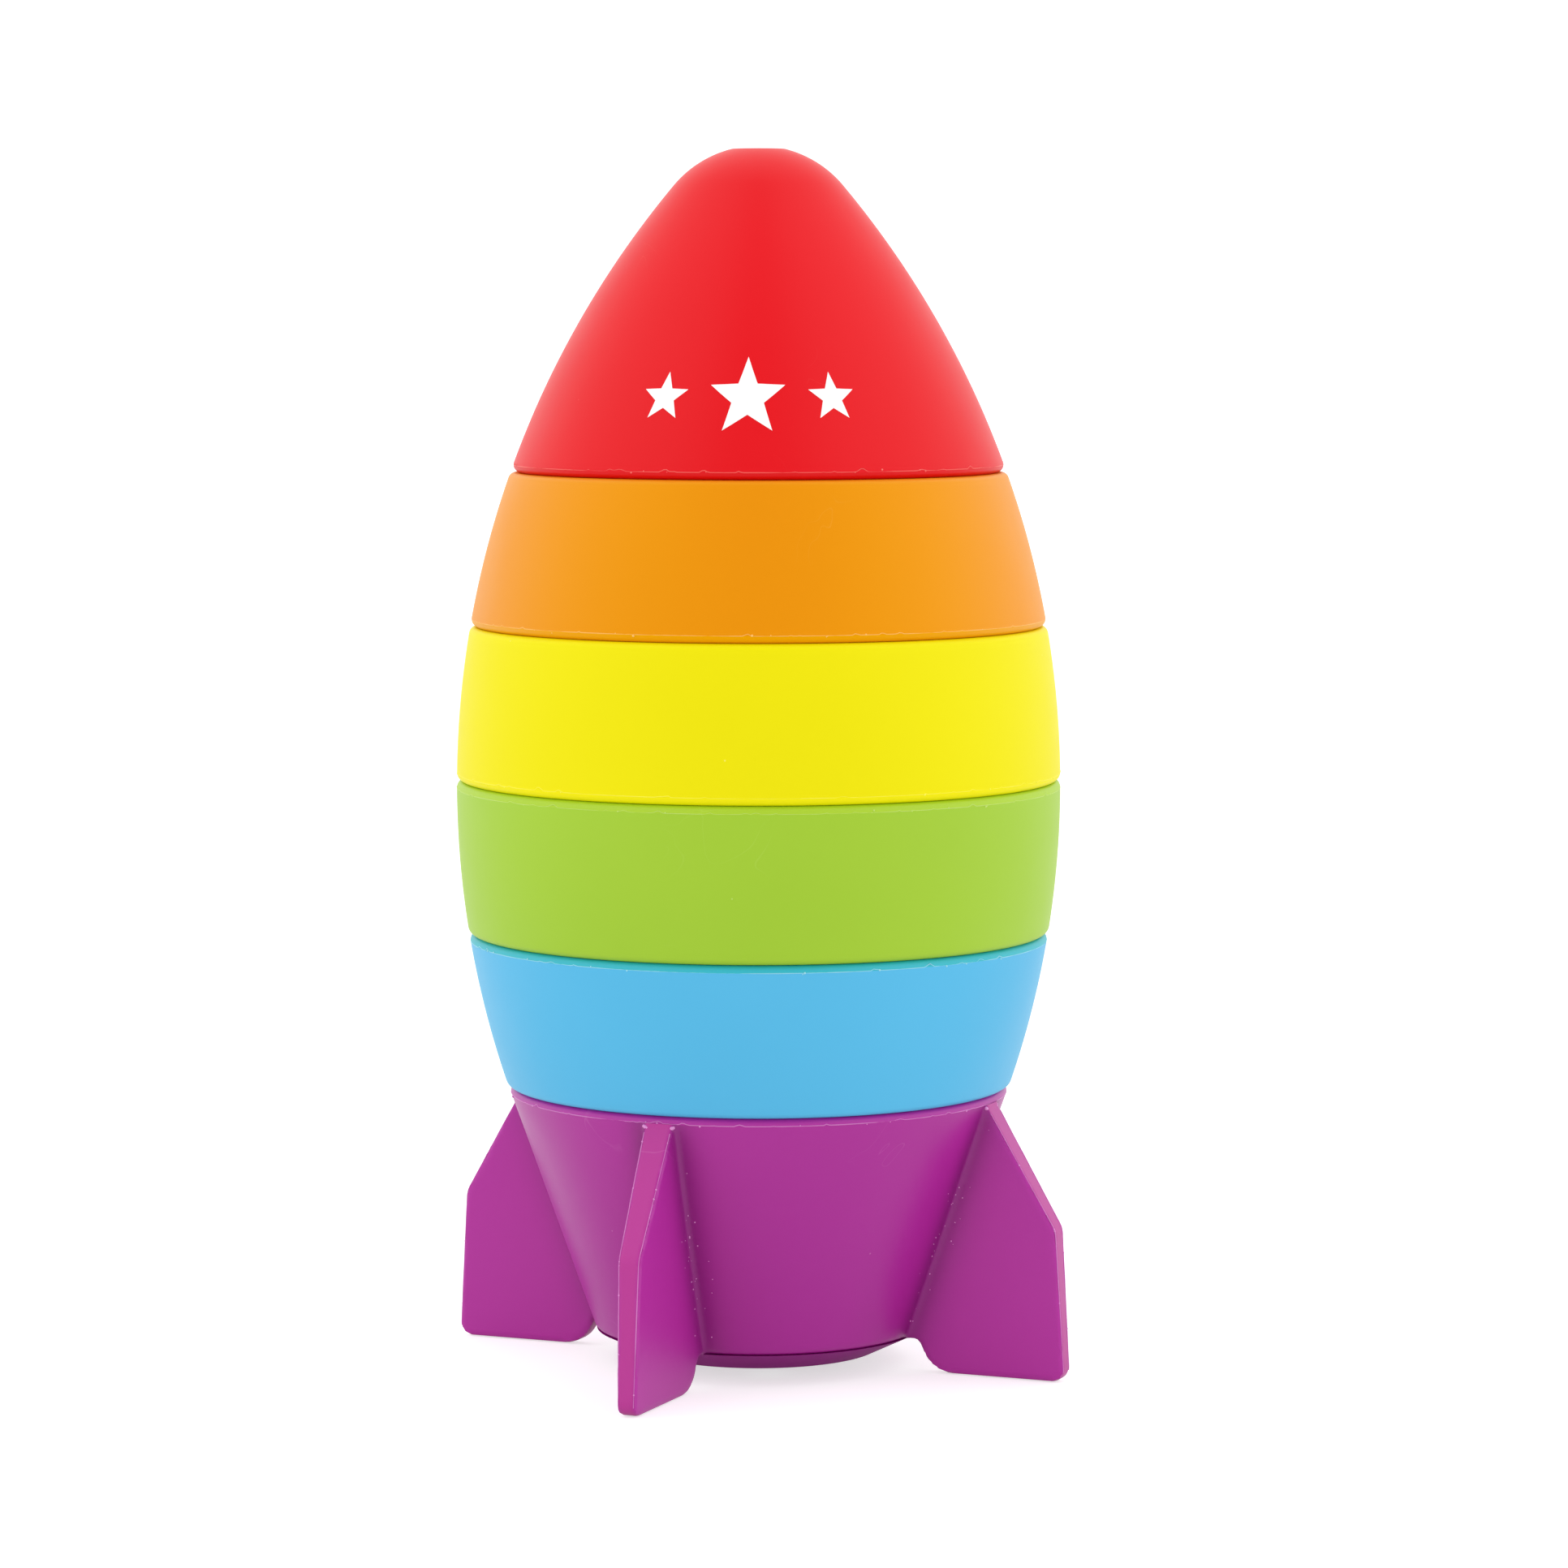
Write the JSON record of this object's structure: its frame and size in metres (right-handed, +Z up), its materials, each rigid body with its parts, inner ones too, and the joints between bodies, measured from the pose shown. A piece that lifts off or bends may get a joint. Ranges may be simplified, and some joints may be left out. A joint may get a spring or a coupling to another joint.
{
  "type": "stacking ring toy",
  "caption": "Rocket-shaped stacking toy: a finned base with a centre post, hollow coloured rings that lift off it, and a nose cone on top.",
  "frame": {"origin": "on the axis of the post, at the height of the fins' feet", "axes": "+Z up along the post towards the nose's tip; the fins point along +X, +Y, -X and -Y"},
  "size_m": [0.1094, 0.1094, 0.201],
  "materials": {
    "red_plastic": "satin",
    "orange_plastic": "satin",
    "yellow_plastic": "satin",
    "green_plastic": "satin",
    "blue_plastic": "satin",
    "purple_plastic": "satin",
    "screw_steel": "brushed"
  },
  "bodies": {
    "base": {"fin_base": "purple_plastic", "base_cap": "purple_plastic", "base_deck": "purple_plastic", "post": "purple_plastic", "base_screws": "screw_steel"},
    "blue_ring": {"blue_ring_shell": "blue_plastic", "blue_ring_lid": "blue_plastic"},
    "green_ring": {"green_ring_shell": "green_plastic", "green_ring_lid": "green_plastic"},
    "yellow_ring": {"yellow_ring_shell": "yellow_plastic", "yellow_ring_floor": "yellow_plastic"},
    "orange_ring": {"orange_ring_shell": "orange_plastic", "orange_ring_floor": "orange_plastic"},
    "nose": {"nose_shell": "red_plastic", "nose_floor": "red_plastic"}
  },
  "joints": [
    {"name": "blue_lift", "type": "slide", "parent": "base", "child": "blue_ring", "axis": [0, 0, 1], "range_m": [0, 0.137]},
    {"name": "green_lift", "type": "slide", "parent": "blue_ring", "child": "green_ring", "axis": [0, 0, 1], "range_m": [0, 0.112]},
    {"name": "yellow_lift", "type": "slide", "parent": "green_ring", "child": "yellow_ring", "axis": [0, 0, 1], "range_m": [0, 0.086]},
    {"name": "orange_lift", "type": "slide", "parent": "yellow_ring", "child": "orange_ring", "axis": [0, 0, 1], "range_m": [0, 0.06]},
    {"name": "nose_lift", "type": "slide", "parent": "orange_ring", "child": "nose", "axis": [0, 0, 1], "range_m": [0, 0.035]}
  ]
}
